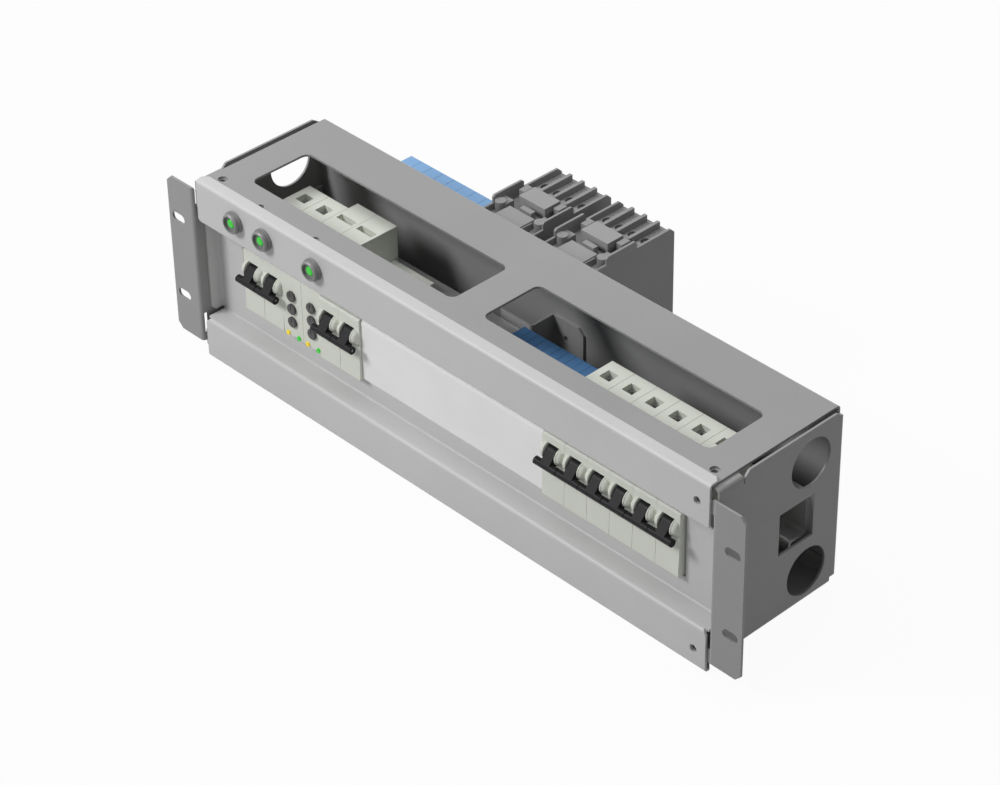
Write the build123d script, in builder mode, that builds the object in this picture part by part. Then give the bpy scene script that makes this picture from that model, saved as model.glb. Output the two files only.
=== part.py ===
from build123d import *
import os
from math import cos, radians, sin

# A 19-inch, three-unit power distribution module: a folded chassis with rack ears,
# a recessed front panel with breakers and monitoring relays on a rail, and a rear
# shelf that carries terminals and two contactors with their faces up.
# Frame: X right, Y back, Z up. The origin is the middle of the four rack slots,
# on the front face of the ears. All sizes are in millimetres.

os.makedirs("parts", exist_ok=True)

# Folded sheet
sheet = 1.5
bend_in = 1.0
bend_out = bend_in + sheet
touch_gap = 0.2

# Rack ears
slot_span_x = 465.1
slot_span_z = 57.15
slot_length = 11.5
slot_width = 6.5
ear_half_width = 241.3
ear_half_height = 56.8
ear_width = 22.9
ear_corner = 4.0

# Chassis
side_outer_x = ear_half_width - ear_width
side_inner_x = side_outer_x - sheet
wall_front_y = 103.5
wall_back_y = wall_front_y + sheet
wall_bottom_z = -ear_half_height + 4.0
floor_top_z = -ear_half_height + 1.0
floor_front_y = 5.0
floor_rear_gap = 4.3
floor_rear_y = wall_front_y - floor_rear_gap
floor_flange = 11.0
side_rise = 6.2
side_top_z = ear_half_height + side_rise
side_top_front_y = 27.8
side_top_chamfer = 4.0
rear_corner_length = 6.6
rear_corner_drop = 4.4
tab_front_y = 2.4
tab_rear_y = 23.0
tab_reach = 22.4
tab_inner_x = side_outer_x - tab_reach
relief_front_y = 2.0
relief_rear_y = 5.0
relief_top_z = ear_half_height - 12.8
relief_low_z = (-ear_half_height + 5.3, -ear_half_height + 20.4)
cable_hole_r = 16.0
cable_hole_y = wall_front_y - 25.3
cable_hole_z = (side_top_z - 22.6, floor_top_z + 19.8)
cutout_y = wall_front_y - 35.5
cutout_z = 2.5
cutout_width = 28.5
cutout_height = 29.0
wall_slot_x = (-side_inner_x + 66.9, -side_inner_x + 156.9)
wall_slot_z = -27.0
wall_slot_length = 56.0
wall_slot_height = 16.0
nut_tab_height = 10.0
nut_tab_reach = 25.0
screw_r = 2.0

# Top cover
cover_top_z = side_top_z - 0.2
cover_side_gap = 3.4
cover_half_width = side_inner_x - cover_side_gap
cover_front_y = 4.0
cover_flange = 12.0
window_margin = 22.7
window_web = 24.8
window_y = 48.2
window_depth = 45.5
window_corner = 5.0
window_length = cover_half_width - window_margin - window_web / 2
window_x = (window_web + window_length) / 2
cover_hole_r = 3.0
cover_hole_x = cover_half_width - 8.9
cover_hole_y = 14.8
small_hole_r = 2.4
small_hole_x = (-cover_half_width + 48.5, -cover_half_width + 98.5)
small_hole_y = 10.8

# Front panel
panel_front_y = 1.0
panel_side_gap = 3.0
panel_half_width = side_inner_x - panel_side_gap
panel_top_z = cover_top_z + sheet
panel_flange = 8.5
band_bottom_z = 33.4
recess_y = 16.0
shelf_z = -37.5
panel_drop = 11.2
panel_bottom_z = floor_top_z - panel_drop
panel_foot = 7.0
panel_side_flange = 8.5
panel_side_bottom_z = shelf_z + 1.1
panel_side_top_z = band_bottom_z - 1.4
panel_corner = 3.0
panel_hole_r = 2.6
panel_hole_x = panel_half_width - 9.1
panel_hole_z = (panel_top_z - 14.9, panel_bottom_z + 12.3)

# Modules on the front rail, in two groups
module_z = -1.5
pitch = 18.0
face_height = 45.0
body_height = 85.0
left_group_x = -panel_half_width + 26.0
left_group_poles = 6
right_group_count = 6
right_group_x = panel_half_width - 31.3 - right_group_count * pitch
window_clearance = 0.6
window_left_gap = 3.6
window_right_gap = 1.4
panel_window_left = left_group_x - window_left_gap
panel_window_right = right_group_x + right_group_count * pitch + window_right_gap
blank_y = recess_y - 3.0
blank_height = 44.4
blank_barb = 1.6

# Front rail, a deep top-hat section
rail_height = 35.0
rail_web = 27.0
rail_depth = 15.0
rail_front_y = 69.0
rail_end_gap = 4.2
rail_half_length = side_inner_x - rail_end_gap
rail_y = rail_front_y + rail_depth

# Breakers
breaker_face_y = recess_y - 3.7
breaker_back_y = rail_front_y - 0.1
shoulder_y = breaker_face_y + 19.7
face_bevel = 1.0
face_lean = 0.7
body_bevel = 2.0
port_size = 8.0
port_depth = 9.0
port_y = breaker_back_y - 11.9
claw_depth = 4.1
claw_lip = 2.0
claw_overlap = 3.0
claw_height = 2.2
clip_width = 6.0
clip_thickness = 2.4
clip_gap = 0.2
clip_tail = 3.0
pivot_depth = 1.7
single_pivot_rise = 11.0
double_pivot_rise = 8.9
cheek_r = 5.6
cheek_round = 3.0
cheek_rim_r = 5.95
cheek_rim = 1.0
cheek_inner = 4.6
cheek_outer = 8.7
hub_r = 4.4
hub_gap = 0.6
lever_half_width = 3.5
bar_r = 2.5
bar_reach = 9.3
bar_down = 39.3
trunnion_r = 1.5
trunnion_reach = 7.0
running_gap = 0.08
tie_pin_r = 0.8
tie_pin_gap = 0.05
pole_screw_r = 2.6
pole_screw_z = 30.0
double_1_set = 1.2
double_2_set = -0.8
compact_height = rail_height + 2 * claw_height
pole_groove = 0.3
pole_groove_depth = 0.5

# Monitoring relays
relay_face_y = recess_y - 2.9
relay_back_y = rail_front_y + 7.4
relay_slot_length = 13.7
relay_slot_width = 4.8
relay_slot_y = breaker_back_y - 9.5
knob_r = 3.6
knob_height = 1.5
knob_rows = (module_z + 8.7, module_z - 0.7, module_z - 10.3)
knob_lift = 0.1
knob_shaft_r = 1.8
knob_shaft_length = 7.0
knob_bore_gap = 0.06
knob_notch = 0.6
knob_bevel = 0.3
led_r = 1.5
led_gap = 0.1
led_offset_x = 4.9
led_drop = 20.4
led_z = module_z - led_drop
led_reach = 0.8
led_length = 6.0

# Signal lamps
lamp_x = (-panel_half_width + 35.7, -panel_half_width + 62.7, -panel_half_width + 107.6)
lamp_z = panel_top_z - 14.0
lamp_flange_r = 7.3
lamp_flange = 2.0
lamp_sleeve_r = 6.5
lamp_sleeve = 2.7
lamp_rim_bevel = 0.7
lamp_bore_r = 5.0
lamp_recess = 1.7
lamp_barrel_r = 5.6
lamp_barrel = 22.0
lamp_led_r = 3.0
lamp_led_gap = 0.1
lamp_led_depth = 12.0
lamp_led_round = 1.0
lamp_nut_r = 8.0
lamp_nut = 3.5

# Blue feed-through terminals on the front rail
terminal_pitch = 6.2
terminal_count = 12
terminal_group_gap = 1.0
terminal_height = 55.0
terminal_reach = 40.0
terminal_slope = 10.0
terminal_nose = 12.0
terminal_nose_bevel = 2.0
terminal_wire_y = 14.5
terminal_wire_r = 1.9
terminal_wire_depth = 10.0

# Rear shelf and rail
rear_rail_y = wall_back_y + 48.5
rear_brim_z = -38.0
rear_rail_z = rear_brim_z - rail_depth
shelf_length = 219.0
shelf_left_x = -side_outer_x + 5.9
shelf_right_x = shelf_left_x + shelf_length
shelf_rear_y = rear_rail_y + 47.5
shelf_wall_flange = 14.0
shelf_rib = 9.0
shelf_clear = 3.0
gusset_height = 30.0
gusset_land = 8.0

# Terminals on the rear rail
rear_terminal_pitch = 10.2
rear_terminal_count = 10
rear_terminal_left_x = shelf_left_x + 4.0
rear_terminal_length = 38.0
rear_terminal_top_z = 8.0
rear_terminal_bevel = 0.6
rear_terminal_well_y = 4.5
rear_terminal_well_r = 2.6
rear_terminal_well_depth = 10.0
rear_terminal_port_width = 6.0
rear_terminal_port_height = 8.0
rear_terminal_port_z = rear_terminal_top_z - 16.0
rear_terminal_port_depth = 9.0

# Contactors
contactor_width = 45.0
contactor_pitch = 54.0
contactor_end_gap = 7.3
contactor_right_x = shelf_right_x - contactor_end_gap - contactor_width / 2
contactor_x = (contactor_right_x - contactor_pitch, contactor_right_x)
contactor_length = 92.0
contactor_top_z = 36.6
contactor_corner = 3.2
contactor_split_z = rear_brim_z + 7.5
contactor_wall = 1.6
terminal_floor_z = contactor_top_z - 4.6
barrier = 2.4
barrier_inset = 1.8
nose_top_z = contactor_top_z + 5.4
nose_length = 26.0
nose_corner = 2.6
contactor_well_y = 27.5
contactor_well_r = 3.4
contactor_well_depth = 10.0
contactor_boss_y = 20.0
contactor_boss_r = 2.0
contactor_boss_height = 2.0
contactor_wire_width = 7.0
contactor_wire_height = 9.0
contactor_wire_depth = 12.0
contactor_wire_drop = 10.0
claw_foot = 6.0
plate_width = 23.7
plate_y = (-16.5, -7.5)
plate_rise = 3.0
column_r = 3.6
column_x = 17.2
column_y = -10.8
column_rise = 7.4
ledge_y = -3.0
ledge_rise = 5.6
latch_x = (12.8, 17.4)
latch_y = (5.2, 12.6)
latch_rise = 8.0
carrier_width = 10.0
carrier_depth = 3.8
carrier_y = -6.4
carrier_travel = 4.5
carrier_gap = 0.2
carrier_sink = 12.0
carrier_rise = 5.5
label_width = 22.6
label_depth = 13.5
label_y = -0.7
label_rise = 9.0
label_thickness = 4.4
label_foot = 2.0

# Brackets
mid_bracket_x = -7.1
mid_bracket_leg = 25.0
mid_bracket_top_z = 17.0
mid_bracket_height = 28.5
mid_bracket_hole_x = mid_bracket_x + 10.8
mid_bracket_hole_z = mid_bracket_top_z - 13.0
end_bracket_leg = 24.0
end_bracket_top_z = 13.5
end_bracket_height = 30.5


def finish(block, name):
    """Label a finished piece and write it under its name."""
    block.part.label = name
    export_step(block.part, f"parts/{name}.step")


def folded(plane, points, radii, width, side=Side.LEFT, mode=Mode.ADD):
    """A sheet folded along a line, with its thickness on one side of the line."""
    with BuildSketch(plane) as profile:
        with BuildLine():
            FilletPolyline(*points, radius=radii)
            offset(amount=sheet, side=side)
        make_face()
    extrude(profile.sketch, amount=width, mode=mode)


def plate(plane, points, width, mode=Mode.ADD):
    """A flat outline drawn out along its plane."""
    with BuildSketch(plane) as profile:
        with BuildLine():
            Polyline(*points, close=True)
        make_face()
    extrude(profile.sketch, amount=width, mode=mode)


def block_between(low, high, mode=Mode.ADD):
    """A box given by its lowest and highest corners."""
    size = [high[k] - low[k] for k in range(3)]
    middle = [(high[k] + low[k]) / 2 for k in range(3)]
    with Locations(tuple(middle)):
        Box(*size, mode=mode)


def round_bar(plane, centre, radius, length, mode=Mode.ADD):
    """A round bar or hole that starts on a plane and runs along its normal."""
    with BuildSketch(plane) as profile:
        with Locations(centre):
            Circle(radius)
    extrude(profile.sketch, amount=length, mode=mode)


def top_hat(plane, centre, opening, length):
    """A top-hat rail: brims, webs and back, open towards one side of its centre line."""
    half = rail_height / 2
    web = rail_web / 2 - sheet
    deep = rail_depth - sheet
    line = [(0, half), (0, web), (deep, web), (deep, -web), (0, -web), (0, -half)]
    across, along = opening
    points = [(centre[0] + across[0] * d + along[0] * h, centre[1] + across[1] * d + along[1] * h)
              for d, h in line]
    folded(plane, points, [bend_out, bend_in, bend_in, bend_out], length)


# The chassis: ears, side plates and rear wall folded from one strip, with the floor
with BuildPart() as chassis:
    strip = [(-ear_half_width, 0), (-side_inner_x, 0), (-side_inner_x, wall_front_y),
             (side_inner_x, wall_front_y), (side_inner_x, 0), (ear_half_width, 0)]
    folded(Plane.XY.offset(-ear_half_height), strip, [bend_out, bend_in, bend_in, bend_out],
           side_top_z + ear_half_height)
    # everything behind the ears ends higher than they do at the bottom
    block_between((-side_outer_x, floor_front_y, -ear_half_height - 1),
                  (side_outer_x, wall_back_y, wall_bottom_z), Mode.SUBTRACT)
    # the rear wall ends under the cover
    block_between((-side_inner_x + bend_in, wall_front_y - 1, cover_top_z - bend_out),
                  (side_inner_x - bend_in, wall_back_y, side_top_z), Mode.SUBTRACT)
    for side in (-1, 1):
        start = Plane.YZ.offset(side_inner_x - bend_out if side > 0 else -ear_half_width)
        across = ear_half_width - side_inner_x + bend_out
        # the ears end below the top of the side plates
        plate(start, [(-1, ear_half_height), (sheet + 0.1, ear_half_height),
                      (sheet + 0.1, side_top_z + 1), (-1, side_top_z + 1)], across, Mode.SUBTRACT)
        # front top corner, where the cover tab takes over
        notch_y = side_top_front_y - side_top_chamfer
        plate(start, [(sheet, ear_half_height - 1), (notch_y, ear_half_height - 1),
                      (notch_y, side_top_z - side_top_chamfer), (side_top_front_y, side_top_z),
                      (side_top_front_y, side_top_z + 1), (sheet, side_top_z + 1)], across, Mode.SUBTRACT)
        # rear top corner
        plate(start, [(wall_back_y - rear_corner_length, side_top_z + 0.1),
                      (wall_back_y + 0.1, side_top_z - rear_corner_drop),
                      (wall_back_y + 0.1, side_top_z + 0.1)], across, Mode.SUBTRACT)
        # reliefs between ear and side plate
        for low, high in ((relief_top_z, ear_half_height + 1), relief_low_z):
            plate(start, [(relief_front_y, low), (relief_rear_y, low),
                          (relief_rear_y, high), (relief_front_y, high)], across, Mode.SUBTRACT)
    corners = chassis.edges().filter_by(Axis.Y).filter_by_position(Axis.Y, 0, sheet)
    chamfer(corners.group_by(Axis.X)[0] + corners.group_by(Axis.X)[-1], ear_corner)
    # floor with upturned edges
    tray = [(side_inner_x, wall_bottom_z), (side_inner_x, floor_top_z),
            (-side_inner_x, floor_top_z), (-side_inner_x, wall_bottom_z)]
    folded(Plane.XZ.offset(-floor_rear_y), tray, bend_in, floor_rear_y - floor_front_y)
    tongue = [(wall_front_y - sheet, floor_top_z + floor_flange),
              (wall_front_y - sheet, floor_top_z), (floor_rear_y - 1, floor_top_z)]
    folded(Plane.YZ.offset(-side_inner_x + 2 * bend_out), tongue, bend_in,
           2 * (side_inner_x - 2 * bend_out))
    # tabs under the cover, and tabs behind the ends of the panel's bands
    for side in (-1, 1):
        turn = Side.LEFT if side > 0 else Side.RIGHT
        tab = [(side * side_outer_x, ear_half_height - 2), (side * side_outer_x, cover_top_z - sheet),
               (side * tab_inner_x, cover_top_z - sheet)]
        folded(Plane.XZ.offset(-tab_rear_y), tab, bend_out, tab_rear_y - tab_front_y - sheet, turn)
    tab_y = panel_front_y + sheet
    for side in (-1, 1):
        turn = Side.RIGHT if side > 0 else Side.LEFT
        for z in panel_hole_z:
            nut_tab = [(side * side_outer_x, relief_rear_y + 4), (side * side_outer_x, tab_y),
                       (side * (side_outer_x - nut_tab_reach), tab_y)]
            folded(Plane.XY.offset(z - nut_tab_height / 2), nut_tab, bend_out, nut_tab_height, turn)
    # holes: cables and wiring through the side plates
    with BuildSketch(Plane.YZ) as side_holes:
        with Locations(*[(cable_hole_y, z) for z in cable_hole_z]):
            Circle(cable_hole_r)
        with Locations((cutout_y, cutout_z)):
            Rectangle(cutout_width, cutout_height)
    extrude(amount=side_outer_x + 1, both=True, mode=Mode.SUBTRACT)
    # cable slots through the rear wall
    with BuildSketch(Plane.XZ.offset(-wall_front_y + 1)) as wall_slots:
        with Locations(*[(x, wall_slot_z) for x in wall_slot_x]):
            SlotOverall(wall_slot_length, wall_slot_height)
    extrude(amount=-sheet - 3, mode=Mode.SUBTRACT)
    # rack slots
    with BuildSketch(Plane.XZ.offset(1)) as rack_slots:
        with GridLocations(slot_span_x, slot_span_z, 2, 2):
            SlotOverall(slot_length, slot_width)
    extrude(amount=-sheet - 2, mode=Mode.SUBTRACT)
    # screw holes in the tabs
    with BuildSketch(Plane.XY.offset(cover_top_z)) as cover_tab_holes:
        with Locations((-cover_hole_x, cover_hole_y), (cover_hole_x, cover_hole_y)):
            Circle(screw_r)
    extrude(amount=-4 * sheet, mode=Mode.SUBTRACT)
    with BuildSketch(Plane.XZ) as nut_holes:
        with Locations(*[(panel_hole_x, z) for z in panel_hole_z]):
            Circle(screw_r)
    extrude(amount=-panel_front_y - 3 * sheet, mode=Mode.SUBTRACT)
finish(chassis, "chassis")

# The top cover with its two windows and rear flange
with BuildPart() as top_cover:
    cover_line = [(wall_back_y + sheet, cover_top_z - cover_flange),
                  (wall_back_y + sheet, cover_top_z), (cover_front_y, cover_top_z)]
    folded(Plane.YZ.offset(-cover_half_width), cover_line, bend_out, 2 * cover_half_width)
    with BuildSketch(Plane.XY.offset(cover_top_z)) as cover_cuts:
        with Locations((-window_x, window_y), (window_x, window_y)):
            RectangleRounded(window_length, window_depth, window_corner)
        with Locations((-cover_hole_x, cover_hole_y), (cover_hole_x, cover_hole_y)):
            Circle(cover_hole_r)
        with Locations(*[(x, small_hole_y) for x in small_hole_x]):
            Circle(small_hole_r)
    extrude(amount=-sheet - 1, mode=Mode.SUBTRACT)
finish(top_cover, "top_cover")

# The front panel: two bands with a recess between them, folded from one sheet
with BuildPart() as front_panel:
    panel_line = [(panel_front_y + panel_flange, panel_top_z), (panel_front_y, panel_top_z),
                  (panel_front_y, band_bottom_z), (recess_y, band_bottom_z),
                  (recess_y, shelf_z), (panel_front_y, shelf_z),
                  (panel_front_y, panel_bottom_z), (panel_front_y + panel_foot, panel_bottom_z)]
    folded(Plane.YZ.offset(-panel_half_width), panel_line,
           [bend_out, bend_out, bend_in, bend_in, bend_out, bend_out], 2 * panel_half_width)
    recess_end = side_inner_x - sheet
    flange_line = [(-recess_end, recess_y - panel_side_flange), (-recess_end, recess_y),
                   (recess_end, recess_y), (recess_end, recess_y - panel_side_flange)]
    folded(Plane.XY.offset(panel_side_bottom_z), flange_line, bend_in,
           panel_side_top_z - panel_side_bottom_z)
    flange_tips = front_panel.edges().filter_by(Axis.X).filter_by_position(
        Axis.Y, recess_y - panel_side_flange, recess_y - panel_side_flange)
    chamfer(flange_tips, panel_corner)
    # the bands' free corners
    for side in (-1, 1):
        edge = side * panel_half_width
        inner = side * (panel_half_width - panel_corner)
        for z, step in ((band_bottom_z, 1), (shelf_z, -1)):
            plate(Plane.XZ.offset(-panel_front_y - bend_out - 0.1),
                  [(edge + side, z - step), (edge + side, z + step * panel_corner),
                   (edge, z + step * panel_corner), (inner, z), (inner, z - step)],
                  bend_out + 2, Mode.SUBTRACT)
        for reach, z in ((panel_flange, panel_top_z), (panel_foot, panel_bottom_z + sheet)):
            rim_y = panel_front_y + reach
            plate(Plane.XY.offset(z + 1),
                  [(edge + side, rim_y + 1), (edge + side, rim_y - panel_corner),
                   (edge, rim_y - panel_corner), (inner, rim_y), (inner, rim_y + 1)],
                  -sheet - 2, Mode.SUBTRACT)
    # window for the module faces
    window_half = face_height / 2 + window_clearance
    block_between((panel_window_left, recess_y - 1, module_z - window_half),
                  (panel_window_right, recess_y + sheet + 1, module_z + window_half), Mode.SUBTRACT)
    with BuildSketch(Plane.XZ) as band_holes:
        with Locations(*[(panel_hole_x, z) for z in panel_hole_z]):
            Circle(panel_hole_r)
        with Locations(*[(x, lamp_z) for x in lamp_x]):
            Circle(lamp_barrel_r + touch_gap)
    extrude(amount=-panel_front_y - sheet - 1, mode=Mode.SUBTRACT)
finish(front_panel, "front_panel")

# The blanking strip between the two groups of modules
with BuildPart() as blanking_strip:
    blank_left = left_group_x + left_group_poles * pitch
    blank_right = right_group_x - touch_gap
    half = blank_height / 2
    lip_y = recess_y + 2 * sheet + touch_gap
    strip_line = [(lip_y, module_z + half), (blank_y, module_z + half),
                  (blank_y, module_z - half), (lip_y, module_z - half)]
    folded(Plane.YZ.offset(blank_left), strip_line, bend_out, blank_right - blank_left)
    for step in (-1, 1):
        barb_z = module_z + step * half
        plate(Plane.YZ.offset(blank_left), [(recess_y + sheet + 0.1, barb_z), (lip_y, barb_z),
              (recess_y + sheet + 0.1, barb_z + step * blank_barb)], blank_right - blank_left)
finish(blanking_strip, "blanking_strip")

# The two rails: one across the front for the modules, one on the shelf facing up
with BuildPart() as front_rail:
    top_hat(Plane.YZ.offset(-rail_half_length), (rail_front_y, module_z), ((1, 0), (0, 1)),
            2 * rail_half_length)
finish(front_rail, "front_rail")

with BuildPart() as rear_rail:
    top_hat(Plane.YZ.offset(shelf_left_x + shelf_clear), (rear_rail_y, rear_brim_z), ((0, -1), (1, 0)),
            shelf_right_x - shelf_left_x - 2 * shelf_clear)
finish(rear_rail, "rear_rail")

# The rear shelf, with a flange on the rear wall and turned-up edges
with BuildPart() as rear_shelf:
    under_z = rear_rail_z - sheet
    shelf_line = [(wall_back_y, under_z + shelf_wall_flange), (wall_back_y, under_z),
                  (shelf_rear_y, under_z), (shelf_rear_y, under_z + shelf_rib)]
    folded(Plane.YZ.offset(shelf_left_x), shelf_line, bend_out, shelf_right_x - shelf_left_x)
    ends_line = [(shelf_left_x, under_z + gusset_height), (shelf_left_x, under_z),
                 (shelf_right_x, under_z), (shelf_right_x, under_z + gusset_height)]
    gusset_front = wall_back_y + 3 * sheet
    gusset_rear = shelf_rear_y - 3 * sheet
    folded(Plane.XZ.offset(-gusset_rear), ends_line, bend_out, gusset_rear - gusset_front)
    plate(Plane.YZ.offset(shelf_left_x - 1),
          [(gusset_front + gusset_land, under_z + gusset_height + 1),
           (gusset_front + gusset_land, under_z + gusset_height),
           (gusset_front + gusset_land + gusset_height - shelf_rib, under_z + shelf_rib),
           (gusset_rear + 1, under_z + shelf_rib), (gusset_rear + 1, under_z + gusset_height + 1)],
          shelf_right_x - shelf_left_x + 2, Mode.SUBTRACT)
finish(rear_shelf, "rear_shelf")

# Brackets between the front rail and the chassis
for side, name in ((-1, "rail_bracket_left"), (1, "rail_bracket_right")):
    with BuildPart() as bracket:
        angle = [(side * (side_inner_x - end_bracket_leg), rail_y), (side * side_inner_x, rail_y),
                 (side * side_inner_x, wall_front_y - sheet)]
        folded(Plane.XY.offset(end_bracket_top_z - end_bracket_height), angle, bend_out,
               end_bracket_height, Side.LEFT if side > 0 else Side.RIGHT)
    finish(bracket, name)

with BuildPart() as mid_bracket:
    stand_x = mid_bracket_x - sheet
    zed = [(mid_bracket_x + mid_bracket_leg, wall_front_y - sheet), (mid_bracket_x, wall_front_y - sheet),
           (mid_bracket_x, rail_y), (stand_x - mid_bracket_leg, rail_y)]
    folded(Plane.XY.offset(mid_bracket_top_z - mid_bracket_height), zed, [bend_in, bend_out],
           mid_bracket_height, Side.RIGHT)
    leg_corners = mid_bracket.edges().filter_by(Axis.Y).group_by(Axis.X)[-1]
    chamfer(leg_corners, ear_corner)
    round_bar(Plane.XZ.offset(-wall_front_y - 1), (mid_bracket_hole_x, mid_bracket_hole_z), screw_r,
              sheet + 2, Mode.SUBTRACT)
finish(mid_bracket, "mid_bracket")


def module_outline(face_y, lean, back_y, height):
    """The lower part of a module's side view: a face that stands proud of the body."""
    low = module_z - height / 2
    head = module_z + face_height / 2
    chin = module_z - face_height / 2
    brim_top = module_z + rail_height / 2 + clip_gap / 2
    lip_y = rail_front_y + claw_lip
    front = [(face_y + face_bevel, head), (face_y, head - face_bevel), (face_y, module_z),
             (face_y - lean, chin + face_bevel), (face_y - lean + face_bevel, chin), (shoulder_y, chin)]
    step = [(shoulder_y, low)]
    if height > face_height:
        step = [(shoulder_y, low + body_bevel), (shoulder_y + body_bevel, low)]
    rear = [(breaker_back_y, low), (breaker_back_y, brim_top), (lip_y, brim_top),
            (lip_y, brim_top - claw_overlap), (back_y, brim_top - claw_overlap)]
    return front + step + rear


def module_body(left, poles, face_y, lean, back_y, claw_top, height):
    """A module housing for one or more poles, with a groove for the clip behind each pole."""
    top = module_z + height / 2
    head = module_z + face_height / 2
    low = module_z - height / 2
    width = poles * pitch - touch_gap
    outline = module_outline(face_y, lean, back_y, height)
    upper = [(back_y, claw_top), (breaker_back_y, claw_top), (breaker_back_y, top)]
    if claw_top >= top - touch_gap:
        upper = [(back_y, top)]
    step = [(shoulder_y, top)]
    if height > face_height:
        step = [(shoulder_y + body_bevel, top), (shoulder_y, top - body_bevel)]
    plate(Plane.YZ.offset(left), outline + upper + step + [(shoulder_y, head)], width)
    for pole in range(poles):
        centre = left + (pole + 0.5) * pitch - touch_gap / 2
        half = clip_width / 2 + clip_gap
        block_between((centre - half, breaker_back_y - clip_thickness - 2 * clip_gap, low - 1),
                      (centre + half, breaker_back_y + 1, module_z - rail_height / 2 + 1), Mode.SUBTRACT)
    # a fine line where the poles meet
    for pole in range(1, poles):
        seam = left + pole * pitch - touch_gap / 2
        block_between((seam - pole_groove / 2, face_y - lean - 1, module_z - face_height),
                      (seam + pole_groove / 2, face_y + pole_groove_depth, module_z + face_height),
                      Mode.SUBTRACT)
        block_between((seam - pole_groove / 2, shoulder_y - 1, top - pole_groove_depth),
                      (seam + pole_groove / 2, breaker_back_y - 1, top + 1), Mode.SUBTRACT)


def pole_centres(left, poles):
    """The middle of every pole of a module."""
    return [left + (pole + 0.5) * pitch - touch_gap / 2 for pole in range(poles)]


# Every breaker: its name, its left side, its number of poles, its face and its height behind it
breakers = [("breaker_1", left_group_x, 2, breaker_face_y + double_1_set, body_height),
            ("breaker_2", left_group_x + 4 * pitch, 2, breaker_face_y + double_2_set, compact_height)]
for k in range(right_group_count):
    breakers.append((f"breaker_{k + 3}", right_group_x + k * pitch, 1, breaker_face_y, body_height))

for name, left, poles, face_y, height in breakers:
    pivot_y = face_y + pivot_depth
    pivot_z = module_z + (single_pivot_rise if poles == 1 else double_pivot_rise)
    with BuildPart() as housing:
        module_body(left, poles, face_y, face_lean, breaker_back_y + claw_depth,
                    module_z + rail_height / 2 + claw_height, height)
        for centre in pole_centres(left, poles):
            # a round crown with a rim on both sides of the lever, and the pocket for its hub
            with BuildSketch(Plane.XY.offset(pivot_z)) as crown_half:
                with Locations((centre, pivot_y)):
                    RectangleRounded(2 * cheek_outer, 2 * cheek_r, cheek_round)
                with Locations((centre, pivot_y + cheek_r)):
                    Rectangle(2 * cheek_outer, 2 * cheek_r, mode=Mode.SUBTRACT)
            revolve(crown_half.sketch, Axis((centre, pivot_y, pivot_z), (1, 0, 0)), 360)
            rim = cheek_inner + cheek_rim
            round_bar(Plane.YZ.offset(centre - rim), (pivot_y, pivot_z), cheek_rim_r, 2 * rim)
            with BuildSketch(Plane.YZ.offset(centre - cheek_inner)) as pocket:
                with Locations((pivot_y, pivot_z)):
                    Circle(hub_r + hub_gap)
                with Locations((pivot_y - cheek_rim_r, pivot_z)):
                    Rectangle(2 * cheek_rim_r, 2 * cheek_rim_r + 0.1)
            extrude(amount=2 * cheek_inner, mode=Mode.SUBTRACT)
            round_bar(Plane.YZ.offset(centre - trunnion_reach - running_gap), (pivot_y, pivot_z),
                      trunnion_r + running_gap, 2 * trunnion_reach + 2 * running_gap, Mode.SUBTRACT)
            # wire ports above and below, with the screws in front of them
            for step in (-1, 1):
                port_z = module_z + step * height / 2
                with Locations((centre, port_y, port_z)):
                    Box(port_size, port_size, 2 * port_depth, mode=Mode.SUBTRACT)
                if height > face_height:
                    round_bar(Plane.XZ.offset(-shoulder_y + 1), (centre, module_z + step * pole_screw_z),
                              pole_screw_r, -port_y + shoulder_y, Mode.SUBTRACT)
    finish(housing, f"{name}_housing")
    for pole, centre in enumerate(pole_centres(left, poles)):
        bar_y = pivot_y - bar_reach * cos(radians(bar_down))
        bar_z = pivot_z - bar_reach * sin(radians(bar_down))
        with BuildPart() as handle:
            with BuildSketch(Plane.YZ.offset(centre - lever_half_width)) as lever:
                with Locations((pivot_y, pivot_z)):
                    Circle(hub_r)
                with Locations((bar_y, bar_z)):
                    Circle(bar_r)
                make_hull()
            extrude(amount=2 * lever_half_width)
            bar_half = pitch / 2 - touch_gap
            round_bar(Plane.YZ.offset(centre - bar_half), (bar_y, bar_z), bar_r, 2 * bar_half)
            round_bar(Plane.YZ.offset(centre - trunnion_reach), (pivot_y, pivot_z), trunnion_r,
                      2 * trunnion_reach)
            if poles > 1:
                round_bar(Plane.YZ.offset(left), (bar_y, bar_z), tie_pin_r + tie_pin_gap,
                          poles * pitch, Mode.SUBTRACT)
        finish(handle, f"{name}_handle" if poles == 1 else f"{name}_handle_{pole + 1}")
    if poles > 1:
        with BuildPart() as tie_pin:
            round_bar(Plane.YZ.offset(left + 2 * touch_gap), (bar_y, bar_z), tie_pin_r,
                      poles * pitch - 5 * touch_gap)
        finish(tie_pin, f"{name}_tie_pin")

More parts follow.
